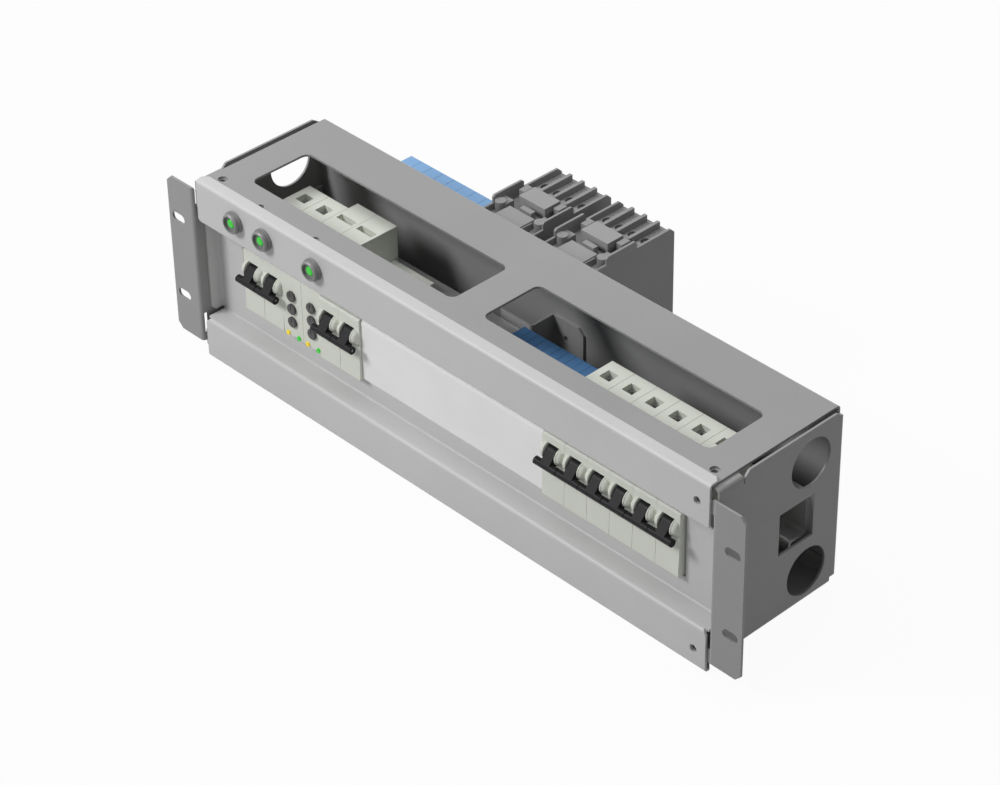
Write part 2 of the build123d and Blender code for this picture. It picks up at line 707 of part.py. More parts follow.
# Monitoring relays: a wire slot on top, three setting knobs and two status lamps each
relays = [("relay_1", left_group_x + 2 * pitch), ("relay_2", left_group_x + 3 * pitch)]
for name, left in relays:
    centre = pole_centres(left, 1)[0]
    with BuildPart() as housing:
        module_body(left, 1, relay_face_y, 0.0, relay_back_y, module_z + body_height / 2,
                    body_height)
        for step in (-1, 1):
            with Locations((centre, relay_slot_y, module_z + step * body_height / 2)):
                Box(relay_slot_length, relay_slot_width, 2 * port_depth, mode=Mode.SUBTRACT)
        with BuildSketch(Plane.XZ.offset(-relay_face_y + 1)) as knob_bores:
            with Locations(*[(centre, z) for z in knob_rows]):
                Circle(knob_shaft_r + knob_bore_gap)
        extrude(amount=-knob_shaft_length - 2, mode=Mode.SUBTRACT)
        with BuildSketch(Plane.XZ.offset(-relay_face_y + 1)) as led_bores:
            with Locations((centre - led_offset_x, led_z), (centre + led_offset_x, led_z)):
                Circle(led_r + led_gap)
        extrude(amount=-led_length - 1, mode=Mode.SUBTRACT)
    finish(housing, f"{name}_housing")
    for row, z in enumerate(knob_rows):
        with BuildPart() as knob:
            front = relay_face_y - knob_lift - knob_height
            round_bar(Plane.XZ.offset(-front - knob_height), (centre, z), knob_r, knob_height)
            round_bar(Plane.XZ.offset(-front - knob_height - knob_shaft_length), (centre, z),
                      knob_shaft_r, knob_shaft_length)
            chamfer(knob.edges().sort_by(Axis.Y)[0], knob_bevel)
            block_between((centre - knob_notch / 2, front - 1, z),
                          (centre + knob_notch / 2, front + knob_notch, z + knob_r + 1), Mode.SUBTRACT)
        finish(knob, f"{name}_knob_{row + 1}")

for step, name in ((-1, "status_leds_yellow"), (1, "status_leds_green")):
    with BuildPart() as leds:
        for relay_name, left in relays:
            x = pole_centres(left, 1)[0] + step * led_offset_x
            round_bar(Plane.XZ.offset(-relay_face_y - led_length + led_reach + led_gap), (x, led_z), led_r,
                      led_length)
    finish(leds, name)

# The spring clips that hold the modules under the lower brim
with BuildPart() as din_clips:
    brim_low = module_z - rail_height / 2 - clip_gap / 2
    lip_y = rail_front_y + claw_lip
    back = breaker_back_y - clip_gap / 2
    places = [(pole_centres(left, poles), height) for _, left, poles, _, height in breakers]
    places = places + [(pole_centres(left, 1), body_height) for _, left in relays]
    for centres, height in places:
        tail_z = module_z - height / 2 - clip_tail
        clip_line = [(back - clip_thickness, brim_low), (lip_y, brim_low),
                     (lip_y, brim_low + claw_overlap), (lip_y + claw_lip, brim_low + claw_overlap),
                     (lip_y + claw_lip, brim_low - claw_height), (back, brim_low - claw_height),
                     (back, tail_z), (back - clip_thickness, tail_z)]
        for centre in centres:
            plate(Plane.YZ.offset(centre - clip_width / 2), clip_line, clip_width)
finish(din_clips, "din_clips")

# Signal lamps in the upper band
for k, x in enumerate(lamp_x):
    flange_y = panel_front_y - lamp_flange
    rim_y = flange_y - lamp_sleeve
    with BuildPart() as bezel:
        round_bar(Plane.XZ.offset(-panel_front_y), (x, lamp_z), lamp_flange_r, lamp_flange)
        round_bar(Plane.XZ.offset(-flange_y), (x, lamp_z), lamp_sleeve_r, lamp_sleeve)
        chamfer(bezel.edges().sort_by(Axis.Y)[0], lamp_rim_bevel)
        round_bar(Plane.XZ.offset(-panel_front_y - lamp_barrel), (x, lamp_z), lamp_barrel_r, lamp_barrel)
        round_bar(Plane.XZ.offset(-rim_y - lamp_recess), (x, lamp_z), lamp_bore_r, lamp_recess + 1,
                  Mode.SUBTRACT)
        round_bar(Plane.XZ.offset(-rim_y - lamp_recess - lamp_led_depth), (x, lamp_z),
                  lamp_led_r + lamp_led_gap, lamp_led_depth + 1, Mode.SUBTRACT)
    finish(bezel, f"lamp_{k + 1}_bezel")
    with BuildPart() as lens:
        tip_y = rim_y + lamp_bore_r / 5
        round_bar(Plane.XZ.offset(-rim_y - lamp_recess - lamp_led_depth), (x, lamp_z), lamp_led_r,
                  rim_y + lamp_recess + lamp_led_depth - tip_y)
        fillet(lens.edges().sort_by(Axis.Y)[0], lamp_led_round)
    finish(lens, f"lamp_{k + 1}_lens")

with BuildPart() as lamp_nuts:
    with BuildSketch(Plane.XZ.offset(-panel_front_y - sheet)) as nut_shape:
        with Locations(*[(x, lamp_z) for x in lamp_x]):
            RegularPolygon(lamp_nut_r, 6)
            Circle(lamp_barrel_r + tie_pin_gap, mode=Mode.SUBTRACT)
    extrude(amount=-lamp_nut)
finish(lamp_nuts, "lamp_nuts")

# Feed-through terminals behind the blanking strip
with BuildPart() as inner_terminals:
    brim_high = module_z + rail_height / 2 + clip_gap / 2
    brim_low = module_z - rail_height / 2 - clip_gap / 2
    lip_y = rail_front_y + claw_lip
    rear_y = lip_y + claw_lip / 2
    foot_y = rail_front_y - clip_gap / 2
    front_y = rail_front_y - terminal_reach
    half = terminal_height / 2
    terminals_right = right_group_x - terminal_group_gap
    upper = [(foot_y, brim_high), (lip_y, brim_high), (lip_y, brim_high - claw_overlap),
             (rear_y, brim_high - claw_overlap), (rear_y, module_z + half),
             (foot_y - terminal_slope, module_z + half), (front_y + terminal_slope, module_z + terminal_nose),
             (front_y, module_z + terminal_nose - terminal_nose_bevel)]
    lower = [(y, 2 * module_z - z) for y, z in reversed(upper)]
    for k in range(terminal_count):
        left = terminals_right - (k + 1) * terminal_pitch
        plate(Plane.YZ.offset(left), upper + lower, terminal_pitch - touch_gap)
    middles = [terminals_right - (k + 0.5) * terminal_pitch - touch_gap / 2
               for k in range(terminal_count)]
    for step in (-1, 1):
        with BuildSketch(Plane.XY.offset(module_z + step * (half + 1))) as wire_holes:
            with Locations(*[(x, rail_front_y - terminal_wire_y) for x in middles]):
                Circle(terminal_wire_r)
        extrude(amount=-step * (terminal_wire_depth + 1), mode=Mode.SUBTRACT)
finish(inner_terminals, "inner_terminals")

# Feed-through terminals on the shelf
with BuildPart() as outer_terminals:
    half = rear_terminal_length / 2
    foot_z = rear_brim_z + clip_gap / 2
    web_gap = rail_height / 2 + clip_gap / 2
    brim_under = rear_brim_z - claw_lip
    right = [(half - rear_terminal_bevel, rear_terminal_top_z),
             (half, rear_terminal_top_z - rear_terminal_bevel), (half, brim_under - claw_lip),
             (web_gap - claw_overlap, brim_under - claw_lip), (web_gap - claw_overlap, brim_under),
             (web_gap, brim_under), (web_gap, foot_z)]
    left_side = [(-y, z) for y, z in reversed(right)]
    slice_line = [(rear_rail_y + y, z) for y, z in right + left_side]
    for k in range(rear_terminal_count):
        plate(Plane.YZ.offset(rear_terminal_left_x + k * rear_terminal_pitch), slice_line,
              rear_terminal_pitch - touch_gap)
    middles = [rear_terminal_left_x + (k + 0.5) * rear_terminal_pitch - touch_gap / 2
               for k in range(rear_terminal_count)]
    for step in (-1, 1):
        with BuildSketch(Plane.XY.offset(rear_terminal_top_z)) as screw_wells:
            with Locations(*[(x, rear_rail_y + step * rear_terminal_well_y) for x in middles]):
                Circle(rear_terminal_well_r)
        extrude(amount=-rear_terminal_well_depth, mode=Mode.SUBTRACT)
        with Locations(*[(x, rear_rail_y + step * half, rear_terminal_port_z) for x in middles]):
            Box(rear_terminal_port_width, 2 * rear_terminal_port_depth, rear_terminal_port_height,
                mode=Mode.SUBTRACT)
finish(outer_terminals, "outer_terminals")

# The two contactors: a foot that grips the rail, a top with terminals and nose, and a carrier
for k, x in enumerate(contactor_x):
    half_x = contactor_width / 2
    half_y = contactor_length / 2
    nose = nose_length / 2
    low_y = rear_rail_y - half_y
    high_y = rear_rail_y + half_y
    foot_z = rear_brim_z + clip_gap / 2
    web_gap = rail_height / 2 + clip_gap / 2
    with BuildPart() as base:
        block_between((x - half_x, low_y, foot_z), (x + half_x, high_y, contactor_split_z))
        for step in (-1, 1):
            foot = [(web_gap, foot_z + 1), (web_gap, rear_brim_z - claw_lip),
                    (web_gap - claw_overlap, rear_brim_z - claw_lip),
                    (web_gap - claw_overlap, rear_brim_z - 2 * claw_lip),
                    (web_gap + claw_foot, rear_brim_z - 2 * claw_lip), (web_gap + claw_foot, foot_z + 1)]
            plate(Plane.YZ.offset(x - half_x), [(rear_rail_y + step * y, z) for y, z in foot],
                  contactor_width)
    finish(base, f"contactor_{k + 1}_base")
    with BuildPart() as top:
        block_between((x - half_x, low_y, contactor_split_z), (x + half_x, high_y, terminal_floor_z))
        # side walls, higher along the nose, with their upper corners taken off
        wall = [(half_y, terminal_floor_z - 1), (half_y, contactor_top_z - contactor_corner),
                (half_y - contactor_corner, contactor_top_z), (nose, contactor_top_z),
                (nose, nose_top_z - nose_corner / 2), (nose - nose_corner / 2, nose_top_z)]
        mirrored = [(-y, z) for y, z in reversed(wall)]
        wall_line = [(rear_rail_y + y, z) for y, z in wall + mirrored]
        for start in (x - half_x, x + half_x - contactor_wall):
            plate(Plane.YZ.offset(start), wall_line, contactor_wall)
        # barriers and screw places between the terminals
        bay = (contactor_width - contactor_wall) / 4
        middles = [x - half_x + contactor_wall / 2 + (n + 0.5) * bay for n in range(4)]
        for step in (-1, 1):
            near = rear_rail_y + step * (nose - 1)
            far = rear_rail_y + step * (half_y - barrier_inset)
            for n in (1, 2, 3):
                rib_x = x - half_x + contactor_wall / 2 + n * bay
                block_between((rib_x - barrier / 2, min(near, far), terminal_floor_z - 1),
                              (rib_x + barrier / 2, max(near, far), contactor_top_z))
            with BuildSketch(Plane.XY.offset(terminal_floor_z)) as bosses:
                with Locations(*[(m, rear_rail_y + step * contactor_boss_y) for m in middles]):
                    Circle(contactor_boss_r)
            extrude(amount=contactor_boss_height)
            with BuildSketch(Plane.XY.offset(terminal_floor_z)) as wells:
                with Locations(*[(m, rear_rail_y + step * contactor_well_y) for m in middles]):
                    Circle(contactor_well_r)
            extrude(amount=-contactor_well_depth, mode=Mode.SUBTRACT)
            with Locations(*[(m, rear_rail_y + step * half_y, terminal_floor_z - contactor_wire_drop)
                             for m in middles]):
                Box(contactor_wire_width, 2 * contactor_wire_depth, contactor_wire_height,
                    mode=Mode.SUBTRACT)
        # between the nose walls: a plate, two round columns with ledges, and the latches
        block_between((x - plate_width / 2, rear_rail_y + plate_y[0], terminal_floor_z - 1),
                      (x + plate_width / 2, rear_rail_y + plate_y[1], terminal_floor_z + plate_rise))
        for step in (-1, 1):
            round_bar(Plane.XY.offset(terminal_floor_z - 1), (x + step * column_x, rear_rail_y + column_y),
                      column_r, column_rise + 1)
            spans = sorted([x + step * (plate_width / 2 + 1.5), x + step * (half_x - contactor_wall)])
            block_between((spans[0], rear_rail_y + column_y, terminal_floor_z - 1),
                          (spans[1], rear_rail_y + ledge_y, terminal_floor_z + ledge_rise))
            spans = sorted([x + step * latch_x[0], x + step * latch_x[1]])
            block_between((spans[0], rear_rail_y + latch_y[0], terminal_floor_z - 1),
                          (spans[1], rear_rail_y + latch_y[1], terminal_floor_z + latch_rise))
        # the guide of the moving carrier
        guide_half = carrier_width / 2 + carrier_gap
        carrier_front = rear_rail_y + carrier_y
        carrier_low_z = terminal_floor_z - carrier_sink
        block_between((x - guide_half, carrier_front - carrier_gap, carrier_low_z - carrier_travel - 1),
                      (x + guide_half, carrier_front + carrier_depth + carrier_gap, nose_top_z + 1),
                      Mode.SUBTRACT)
    finish(top, f"contactor_{k + 1}_top")
    with BuildPart() as carrier:
        block_between((x - carrier_width / 2, carrier_front, carrier_low_z),
                      (x + carrier_width / 2, carrier_front + carrier_depth, terminal_floor_z + carrier_rise))
    finish(carrier, f"contactor_{k + 1}_carrier")

# The label holders clip onto the noses, on two feet
with BuildPart() as label_holders:
    for x in contactor_x:
        front = rear_rail_y + label_y
        rear = front + label_depth
        half = label_width / 2
        label_top_z = terminal_floor_z + label_rise
        block_between((x - half, front, label_top_z - label_thickness), (x + half, rear, label_top_z))
        block_between((x - half + label_foot, front + label_foot, terminal_floor_z),
                      (x + half - label_foot, rear - label_foot, label_top_z - label_thickness + 1))
finish(label_holders, "label_holders")
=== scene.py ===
# %% [markdown]
# # A rack power distribution module
#
# The object is a folded steel chassis for a 19 inch rack. Breakers and relays look out
# of its front panel, three signal lamps sit above them, and a shelf at the back carries
# terminals and two contactors. The packed CAD model is loaded first. It already has the
# right shape and size, so Blender adds finishes, fine forms, light and a camera.

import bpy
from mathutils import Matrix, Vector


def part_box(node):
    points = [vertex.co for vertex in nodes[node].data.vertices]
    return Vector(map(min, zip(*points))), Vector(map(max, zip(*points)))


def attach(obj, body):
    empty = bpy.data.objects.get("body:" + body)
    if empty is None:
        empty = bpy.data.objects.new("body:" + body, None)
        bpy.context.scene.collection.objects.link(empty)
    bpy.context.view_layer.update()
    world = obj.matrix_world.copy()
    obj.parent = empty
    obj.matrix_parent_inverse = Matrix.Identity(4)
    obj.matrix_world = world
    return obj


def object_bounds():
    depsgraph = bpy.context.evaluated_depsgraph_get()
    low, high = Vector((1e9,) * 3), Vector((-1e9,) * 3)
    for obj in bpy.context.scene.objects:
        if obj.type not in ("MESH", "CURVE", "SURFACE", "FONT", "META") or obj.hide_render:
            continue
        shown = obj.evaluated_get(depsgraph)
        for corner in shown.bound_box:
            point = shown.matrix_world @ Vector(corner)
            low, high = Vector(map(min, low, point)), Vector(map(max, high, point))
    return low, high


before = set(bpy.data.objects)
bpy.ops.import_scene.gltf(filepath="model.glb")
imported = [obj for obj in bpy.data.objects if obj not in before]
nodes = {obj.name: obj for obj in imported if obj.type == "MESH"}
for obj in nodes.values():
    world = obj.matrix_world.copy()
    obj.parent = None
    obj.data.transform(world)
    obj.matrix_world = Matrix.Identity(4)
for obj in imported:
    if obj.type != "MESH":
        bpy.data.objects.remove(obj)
cad_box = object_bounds()
print("CAD box in m:", [round(v, 4) for corner in cad_box for v in corner])

# %% Modules and sizes used everywhere
import math

import bmesh
import bpy
from mathutils import Matrix, Vector

MM = 0.001

# %% [markdown]
# ## The camera
#
# The picture is a drawing seen from above the right front corner, with the three axes
# equally steep. A long lens keeps the edges nearly parallel. The lens shift only moves
# the frame, so that the object sits where it does in the picture.

# %% Camera
look_from = Vector((1137.93, -1022.02, 1134.30)) * MM
right = Vector((1, 1, 0)).normalized()
forward = Vector((-1, 1, -1)).normalized()
upward = right.cross(forward)

camera_data = bpy.data.cameras.new("camera")
camera_data.sensor_width = 36.0
camera_data.lens = 117.98
camera_data.shift_x = -0.0784
camera_data.shift_y = -0.0548
camera_data.clip_start = 0.05
camera_data.clip_end = 40.0
camera = bpy.data.objects.new("camera", camera_data)
turn = Matrix((right, upward, -forward)).transposed().to_4x4()
camera.matrix_world = Matrix.Translation(look_from) @ turn
bpy.context.scene.collection.objects.link(camera)
bpy.context.scene.camera = camera
print("camera at", [round(v, 3) for v in look_from], "lens", camera_data.lens)

# %% [markdown]
# ## Shader maths as plain expressions
#
# A material is a network of nodes. Wired by hand it is long, so one small class wraps a
# socket: adding or multiplying two of them adds the Math node that does it.
# Colours go through Mix nodes instead, because a Math node would turn them grey.

# %% The socket class
class Field:
    """One output of a shader node, with the usual operators."""

    def __init__(self, tree, socket):
        self.tree = tree
        self.socket = socket

    def node(self, kind, values=None, out=0, **settings):
        """Add a node, set its settings, then its inputs, and give back one of its outputs."""
        made = self.tree.nodes.new(kind)
        for name, value in settings.items():
            setattr(made, name, value)
        for name, value in (values or {}).items():
            for single in value if isinstance(value, list) else [value]:
                if isinstance(single, Field):
                    self.tree.links.new(single.socket, made.inputs[name])
                else:
                    made.inputs[name].default_value = single
        return Field(self.tree, made.outputs[out])

    def math(self, operation, other, swap=False):
        pair = (other, self) if swap else (self, other)
        return self.node("ShaderNodeMath", dict(enumerate(pair)), operation=operation)

    def __add__(self, other):
        return self.math("ADD", other)

    def __radd__(self, other):
        return self.math("ADD", other, True)

    def __sub__(self, other):
        return self.math("SUBTRACT", other)

    def __rsub__(self, other):
        return self.math("SUBTRACT", other, True)

    def __mul__(self, other):
        return self.math("MULTIPLY", other)

    def __rmul__(self, other):
        return self.math("MULTIPLY", other, True)

    def __truediv__(self, other):
        return self.math("DIVIDE", other)

    def clamp(self, low=0.0, high=1.0):
        return self.math("MAXIMUM", low).math("MINIMUM", high)

    def ramp(self, low, high):
        """0 at low, 1 at high, straight in between."""
        return ((self - low) / (high - low)).clamp()

    def blend(self, first, second):
        """A colour that goes from first to second as this value goes from 0 to 1."""
        return self.node("ShaderNodeMix", {0: self, 6: first, 7: second}, 2, data_type="RGBA")


print("what a Field can do:", [name for name in vars(Field) if not name.startswith("_")])

# %% [markdown]
# ## From a colour in the picture to a finish
#
# A colour is read off the picture as the eight-bit grey or tint of a lit face.
# Shaders work in linear light, so it is converted. The finishes share three helpers: an
# object-space position, a noise at a real size in millimetres, and a soft edge that
# catches the light as a real bend or moulded corner does.

# %% Colour and surface helpers
def tint(red, green=None, blue=None):
    """A colour in linear light, from eight-bit values."""
    parts = [red, red if green is None else green, red if blue is None else blue]
    linear = [(p / 255 / 12.92) if p <= 10 else ((p / 255 + 0.055) / 1.055) ** 2.4 for p in parts]
    return (*linear, 1.0)


def new_finish(name):
    """An empty material with a shader, and a Field to start from."""
    material = bpy.data.materials.new(name)
    material.use_nodes = True
    tree = material.node_tree
    tree.nodes.clear()
    output = tree.nodes.new("ShaderNodeOutputMaterial")
    shader = tree.nodes.new("ShaderNodeBsdfPrincipled")
    tree.links.new(shader.outputs[0], output.inputs[0])
    place = Field(tree, tree.nodes.new("ShaderNodeTexCoord").outputs["Object"])
    return material, shader, place


def shades(colour, spread):
    """A slightly darker and a slightly lighter form of a colour."""
    return [tuple(min(1.0, part * factor) for part in colour[:3]) + (1.0,)
            for factor in (1 - spread, 1 + spread)]


def noise(place, size_mm, detail=2.0, stretch=(1, 1, 1)):
    """Noise whose lumps are about size_mm across; stretch makes them long along an axis."""
    scale = tuple(1 / (size_mm * MM * s) for s in stretch)
    spread = place.node("ShaderNodeMapping", {"Vector": place, "Scale": scale})
    return place.node("ShaderNodeTexNoise", {"Vector": spread, "Scale": 1.0, "Detail": detail})


def wire(shader, name, value):
    """Put a Field or a plain value on one of the shader's inputs."""
    if isinstance(value, Field):
        value.tree.links.new(value.socket, shader.inputs[name])
    else:
        shader.inputs[name].default_value = value


def soft_edges(place, radius_mm):
    return place.node("ShaderNodeBevel", {"Radius": radius_mm * MM}, samples=6)


def bump(place, height, depth_mm, normal=None):
    """Fine relief of a real depth, on top of the softened edges where there are any."""
    sockets = {"Height": height, "Distance": depth_mm * MM, "Strength": 1.0}
    if normal:
        sockets["Normal"] = normal
    return place.node("ShaderNodeBump", sockets)


print("mid grey in linear light:", round(tint(128)[0], 3))

# %% [markdown]
# ## Painted sheet
#
# The chassis, the cover and the panel are powder coated. The coat has a fine orange-peel
# texture, and its tone and its gloss drift a little across a large sheet. Two noises carry
# that: a fine one for the relief and a broad one for the gloss, and both for the tone.

# %% Powder coat
def powder_coat(name, colour, roughness=0.36, peel=0.02, edge_mm=0.35):
    material, shader, place = new_finish(name)
    broad = noise(place, 90, 3)
    fine = noise(place, 1.1, 2)
    tone = (broad * 0.6 + fine * 0.4).ramp(0.3, 0.7)
    wire(shader, "Base Color", tone.blend(*shades(colour, 0.05)))
    wire(shader, "Roughness", (roughness - 0.06) + 0.12 * broad)
    wire(shader, "Specular IOR Level", 0.25)
    wire(shader, "Normal", bump(place, fine, peel, soft_edges(place, edge_mm)))
    return material


chassis_coat = powder_coat("chassis_coat", tint(156))
cover_coat = powder_coat("cover_coat", tint(158))
panel_coat = powder_coat("panel_coat", tint(207))
print("coats:", chassis_coat.name, cover_coat.name, panel_coat.name)

# %% [markdown]
# ## Moulded plastic
#
# Breakers, relays, terminals and contactors are injection moulded. The tool leaves a very
# fine spark-eroded grain, and the colour is even but never perfectly flat.

# %% Moulded plastic
def moulded(name, colour, roughness=0.48, grain=0.012, edge_mm=0.25, shine=0.3):
    material, shader, place = new_finish(name)
    cloud = noise(place, 35, 2)
    spark = noise(place, 0.45, 2)
    tone = (cloud * 0.5 + spark * 0.5).ramp(0.3, 0.7)
    wire(shader, "Base Color", tone.blend(*shades(colour, 0.045)))
    wire(shader, "Roughness", (roughness - 0.08) + 0.16 * spark)
    wire(shader, "Specular IOR Level", shine)
    rounded = soft_edges(place, edge_mm) if edge_mm else None
    wire(shader, "Normal", bump(place, spark, grain, rounded))
    return material


breaker_plastic = moulded("breaker_plastic", tint(227, 230, 220))
front_plastic = moulded("front_plastic", tint(227, 230, 220), edge_mm=0)
handle_plastic = moulded("handle_plastic", tint(38, 38, 40), 0.42, 0.006, shine=0.12)
knob_plastic = moulded("knob_plastic", tint(84), 0.5)
strip_plastic = moulded("strip_plastic", tint(247), 0.5, 0.015)
dark_blue = moulded("dark_blue_plastic", tint(85, 130, 178))
light_blue = moulded("light_blue_plastic", tint(133, 175, 219))
contactor_plastic = moulded("contactor_plastic", tint(150), 0.5)
contactor_base_plastic = moulded("contactor_base_plastic", tint(140), 0.52)
carrier_plastic = moulded("carrier_plastic", tint(160), 0.45)
clip_plastic = moulded("clip_plastic", tint(70), 0.5)
print("breaker plastic in linear light:", [round(part, 2) for part in tint(227, 230, 220)[:3]])

# %% [markdown]
# ## Zinc plated steel
#
# The rails and brackets are rolled from plated strip. Rolling leaves long faint lines
# along the strip, and the plating has a cloudy, slightly mottled sheen. The bezels of the
# lamps, the screws and the clamps get the same kind of finish with other lines.

# %% Plated steel
def plated(name, colour, along=(40, 1, 1), roughness=0.36, edge_mm=0.2, metallic=0.75):
    material, shader, place = new_finish(name)
    lines = noise(place, 0.8, 2, along)
    cloud = noise(place, 14, 4)
    tone = (cloud * 0.7 + lines * 0.3).ramp(0.3, 0.7)
    wire(shader, "Base Color", tone.blend(*shades(colour, 0.1)))
    wire(shader, "Roughness", (roughness - 0.1) + 0.2 * cloud)
    wire(shader, "Metallic", metallic)
    wire(shader, "Normal", bump(place, lines, 0.01, soft_edges(place, edge_mm)))
    return material


rail_zinc = plated("rail_zinc", tint(176), metallic=0.35)
bracket_zinc = plated("bracket_zinc", tint(172), (1, 1, 40), metallic=0.15)
lamp_metal = plated("lamp_metal", tint(132), (1, 40, 1), 0.42, 0.2, 0.15)
screw_steel = plated("screw_steel", tint(180), (1, 1, 1), 0.3, 0.12, 0.9)
clamp_steel = plated("clamp_steel", tint(120), (1, 1, 1), 0.55, 0.1, 0.2)
print("materials so far:", len(bpy.data.materials))

# %% [markdown]
# ## Lamp lenses
#
# The green and yellow lamps are small tinted lenses that glow a little. The tint is not
# quite even, so the glow and the colour both follow a fine noise.

# %% Glowing lenses
def lens_finish(name, colour, glow):
    material, shader, place = new_finish(name)
    cloud = noise(place, 0.9, 2)
    dark = tuple(c * 0.8 for c in colour[:3]) + (1.0,)
    wire(shader, "Base Color", cloud.ramp(0.3, 0.7).blend(dark, colour))
    wire(shader, "Emission Color", cloud.ramp(0.2, 0.6).blend(dark, colour))
    wire(shader, "Emission Strength", glow)
    wire(shader, "Roughness", 0.12 + 0.1 * cloud)
    wire(shader, "Normal", bump(place, cloud, 0.01, soft_edges(place, 0.2)))
    return material


green_lens = lens_finish("green_lens", tint(18, 205, 28), 0.25)
yellow_lens = lens_finish("yellow_lens", tint(255, 226, 10), 0.2)
print("lenses:", green_lens.name, yellow_lens.name)

# %% [markdown]
# ## Dressing the CAD nodes
#
# Each node keeps its shape and only changes its material. Part of the name says what a
# node is, so a short list of name parts is enough to dress them all.

# %% Give every node its finish
dress = [
    ("chassis", chassis_coat), ("top_cover", cover_coat), ("front_panel", panel_coat),
    ("blanking_strip", strip_plastic), ("rear_shelf", chassis_coat), ("bracket", bracket_zinc),
    ("rail", rail_zinc), ("handle", handle_plastic), ("tie_pin", screw_steel),
    ("knob", knob_plastic), ("leds_yellow", yellow_lens), ("leds_green", green_lens),
    ("lens", green_lens), ("bezel", lamp_metal), ("lamp_nuts", screw_steel),
    ("inner_terminals", dark_blue), ("outer_terminals", light_blue),
    ("contactor_1_base", contactor_base_plastic), ("contactor_2_base", contactor_base_plastic),
    ("carrier", carrier_plastic), ("label_holders", carrier_plastic), ("contactor", contactor_plastic),
    ("din_clips", clip_plastic), ("housing", breaker_plastic), ("screw", screw_steel),
]
dressed = {}
for name, node in nodes.items():
    finish = next((f for part, f in dress if part in name), None)
    if finish is None:
        raise ValueError("no finish for " + name)
    node.data.materials.clear()
    node.data.materials.append(finish)
    dressed[finish.name] = dressed.get(finish.name, 0) + 1
print("nodes by finish:", dressed)

# %% [markdown]
# ## Small parts that repeat
#
# Terminals hold screws, contactor terminals have screws, ribs and a guard, and the
# breakers have steel clamps in their wire ports and a front with crowns on every pole.
# They repeat at a fixed pitch, so each kind is one small Geometry Nodes tree with its
# sizes as named inputs. The tree places points, puts a copy of the part on each, makes
# the copies real and gives them their finish. What it grows is then kept as a plain mesh,
# because the export wants no live trees.

# %% Helpers for geometry trees
def new_tree(name, **inputs):
    """A geometry tree with named inputs, and those inputs as Fields."""
    tree = bpy.data.node_groups.new(name, "GeometryNodeTree")
    tree.interface.new_socket("Geometry", in_out="OUTPUT", socket_type="NodeSocketGeometry")
    for label, kind in inputs.items():
        tree.interface.new_socket(label, in_out="INPUT", socket_type="NodeSocket" + kind)
    tree.interface.new_socket("finish", in_out="INPUT", socket_type="NodeSocketMaterial")
    entry = tree.nodes.new("NodeGroupInput")
    return tree, {label: Field(tree, entry.outputs[label]) for label in [*inputs, "finish"]}


def close_tree(tree, points, part, given, turns=(0, 0, 0)):
    """Put the part on every point, make the copies real and give them the finish."""
    copies = points.node("GeometryNodeInstanceOnPoints", {"Points": points, "Instance": part,
                                                          "Rotation": turns})
    real = copies.node("GeometryNodeRealizeInstances", {"Geometry": copies})
    dressed_part = real.node("GeometryNodeSetMaterial", {"Geometry": real, "Material": given["finish"]})
    output = tree.nodes.new("NodeGroupOutput")
    tree.links.new(dressed_part.socket, output.inputs[0])


def grow(name, tree, finish, slot_name, **sizes):
    """Run a tree with these sizes and keep the result as a plain mesh on the frame body."""
    piece = bpy.data.objects.new(name, bpy.data.meshes.new(name + "_start"))
    bpy.context.scene.collection.objects.link(piece)
    growth = piece.modifiers.new("growth", "NODES")
    growth.node_group = tree
    wanted = {**sizes, "finish": finish}
    for item in tree.interface.items_tree:
        if item.in_out == "INPUT":
            growth[item.identifier] = wanted[item.name]
    shaped = piece.evaluated_get(bpy.context.evaluated_depsgraph_get())
    mesh = bpy.data.meshes.new_from_object(shaped)
    piece.modifiers.remove(growth)
    piece.data = mesh
    mesh.name = name
    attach(piece, "frame")
    print(name, "faces:", len(mesh.polygons))
    return piece


POLE = 18.0 * MM
print("pole pitch in mm:", round(POLE / MM, 1))

# %% [markdown]
# ## Terminal screws
#
# A terminal screw is a low head on a shank, with a slot or a cross. The head is a cone
# with a wide top, so that its rim is bevelled, and the slots are cut with a Boolean, once,
# before the copies are made. Every screw was tightened by hand, so each is turned by its
# own amount, from a fixed seed. The sizes below are shares of the head's radius, except
# two: CUT_LIFT, the height of the cutters' middle, is a share of the head's height, and
# LEAST_CUT keeps the cross cutter from having no length where a screw has a plain slot.

# %% Screw tree
HEAD_TAPER = 0.82
SLOT_LENGTH = 1.75
SLOT_WIDTH = 0.3
CROSS_LENGTH = 1.2
CUT_LIFT = 1.1
SHANK_SHARE = 0.5
LEAST_CUT = 0.01 * MM
screw_tree, given = new_tree("screw_rows", columns="Int", rows="Int", column_pitch="Float",
                             row_pitch="Float", middle="Vector", head_radius="Float",
                             head_height="Float", shank="Float", cross="Float", seed="Int")
span = (given["columns"] - 1) * given["column_pitch"]
depth = (given["rows"] - 1) * given["row_pitch"]
grid = span.node("GeometryNodeMeshGrid", {"Size X": span, "Size Y": depth,
                                          "Vertices X": given["columns"], "Vertices Y": given["rows"]})
placed = grid.node("GeometryNodeTransform", {"Geometry": grid, "Translation": given["middle"]})
head = span.node("GeometryNodeMeshCone", {"Vertices": 20, "Depth": given["head_height"],
                                          "Radius Top": given["head_radius"] * HEAD_TAPER,
                                          "Radius Bottom": given["head_radius"]})
slot_size = span.node("ShaderNodeCombineXYZ", {0: given["head_radius"] * SLOT_LENGTH,
                                               1: given["head_radius"] * SLOT_WIDTH,
                                               2: given["head_height"]})
cross_reach = given["head_radius"] * CROSS_LENGTH * given["cross"] + LEAST_CUT
